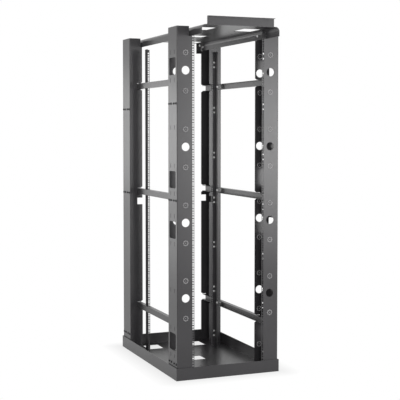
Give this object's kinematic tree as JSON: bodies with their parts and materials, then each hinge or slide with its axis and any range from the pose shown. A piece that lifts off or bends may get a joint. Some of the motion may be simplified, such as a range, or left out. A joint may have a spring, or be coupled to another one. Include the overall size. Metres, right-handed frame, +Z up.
{
  "type": "four post open frame rack",
  "caption": "Open frame rack with channel posts, punched mounting rails, side bars, a windowed base tray and a top tray that reaches forward.",
  "frame": {"origin": "on the floor, in the middle of the width, half way between the front edge of the panel's lip and the back of the base", "axes": "+Z up, -Y towards the front of the rack, +X to the right seen from the front"},
  "size_m": [0.6858, 1.2578, 2.178],
  "materials": {
    "powder_coat": "satin black powder coat with a fine grain"
  },
  "bodies": {
    "root": {"base_plate": "powder_coat", "base_front_wall": "powder_coat", "base_back_wall": "powder_coat", "base_left_wall": "powder_coat", "base_right_wall": "powder_coat", "post_front_left": "powder_coat", "post_front_right": "powder_coat", "post_back_left": "powder_coat", "post_back_right": "powder_coat", "rail_back_left": "powder_coat", "rail_back_right": "powder_coat", "top_tray": "powder_coat", "top_front_panel": "powder_coat", "gusset_back_left": "powder_coat", "gusset_back_right": "powder_coat", "bar_left_lower": "powder_coat", "bar_left_middle": "powder_coat", "bar_left_upper": "powder_coat", "bar_right_lower": "powder_coat", "bar_right_middle": "powder_coat", "bar_right_upper": "powder_coat"}
  },
  "joints": []
}
